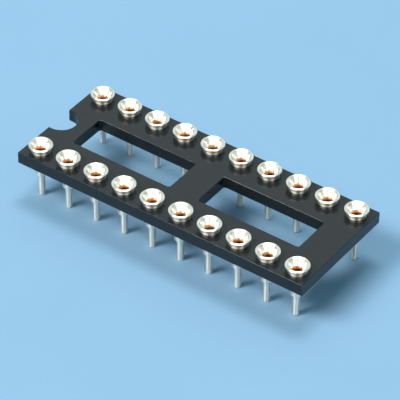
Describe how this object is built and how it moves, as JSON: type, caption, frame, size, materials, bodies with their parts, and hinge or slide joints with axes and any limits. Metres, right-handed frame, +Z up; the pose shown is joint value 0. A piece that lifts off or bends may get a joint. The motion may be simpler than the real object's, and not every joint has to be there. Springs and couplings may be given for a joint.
{
  "type": "dual in-line ic socket",
  "caption": "Low open-frame socket for a dual in-line chip: turned sleeves with funnel heads and solder tails, each with a sprung clip, in a black frame.",
  "frame": {"origin": "middle of the socket in plan, at the height of the tips of the tails", "axes": "+X along the rows, from the index notch to the other end; +Y across the rows, from contacts 1 to 10 towards contacts 11 to 20; +Z up, the way the funnels open"},
  "size_m": [0.0252, 0.01, 0.0047],
  "materials": {
    "frame_plastic": "satin black glass-filled moulding",
    "sleeve_metal": "bright tin plate over turned brass",
    "clip_gold": "gold plate over beryllium copper"
  },
  "bodies": {
    "root": {"insulator_frame": "frame_plastic", "sleeve_01": "sleeve_metal", "sleeve_02": "sleeve_metal", "sleeve_03": "sleeve_metal", "sleeve_04": "sleeve_metal", "sleeve_05": "sleeve_metal", "sleeve_06": "sleeve_metal", "sleeve_07": "sleeve_metal", "sleeve_08": "sleeve_metal", "sleeve_09": "sleeve_metal", "sleeve_10": "sleeve_metal", "sleeve_11": "sleeve_metal", "sleeve_12": "sleeve_metal", "sleeve_13": "sleeve_metal", "sleeve_14": "sleeve_metal", "sleeve_15": "sleeve_metal", "sleeve_16": "sleeve_metal", "sleeve_17": "sleeve_metal", "sleeve_18": "sleeve_metal", "sleeve_19": "sleeve_metal", "sleeve_20": "sleeve_metal", "clip_01": "clip_gold", "clip_02": "clip_gold", "clip_03": "clip_gold", "clip_04": "clip_gold", "clip_05": "clip_gold", "clip_06": "clip_gold", "clip_07": "clip_gold", "clip_08": "clip_gold", "clip_09": "clip_gold", "clip_10": "clip_gold", "clip_11": "clip_gold", "clip_12": "clip_gold", "clip_13": "clip_gold", "clip_14": "clip_gold", "clip_15": "clip_gold", "clip_16": "clip_gold", "clip_17": "clip_gold", "clip_18": "clip_gold", "clip_19": "clip_gold", "clip_20": "clip_gold"}
  },
  "joints": []
}
